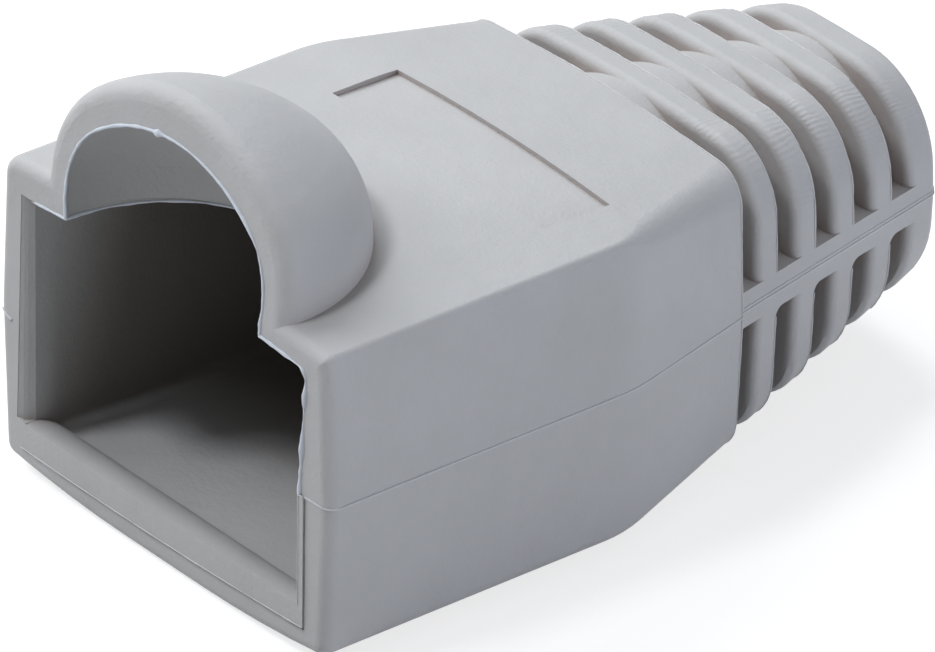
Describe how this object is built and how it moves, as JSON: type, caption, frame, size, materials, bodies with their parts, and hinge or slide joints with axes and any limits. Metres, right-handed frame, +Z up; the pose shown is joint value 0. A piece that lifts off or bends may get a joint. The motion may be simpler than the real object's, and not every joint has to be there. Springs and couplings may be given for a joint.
{
  "type": "rj45 strain relief boot",
  "caption": "Moulded slip-on strain relief boot for an RJ45 plug, with a hollow housing, a latch hood and a slotted flexible tail for the cable.",
  "frame": {"origin": "under the middle of the boot's length, on its centre plane, at the height of the underside that it rests on", "axes": "+Y from the plug mouth to the cable tail, +Z up towards the latch hood, +X across; left and right match, apart from the recess on top and the trim and lip of the mouth"},
  "size_m": [0.014, 0.0232, 0.0137],
  "materials": {
    "boot": "matte grey soft PVC with a fine moulded texture"
  },
  "bodies": {
    "root": {"boot": "boot"}
  },
  "joints": []
}
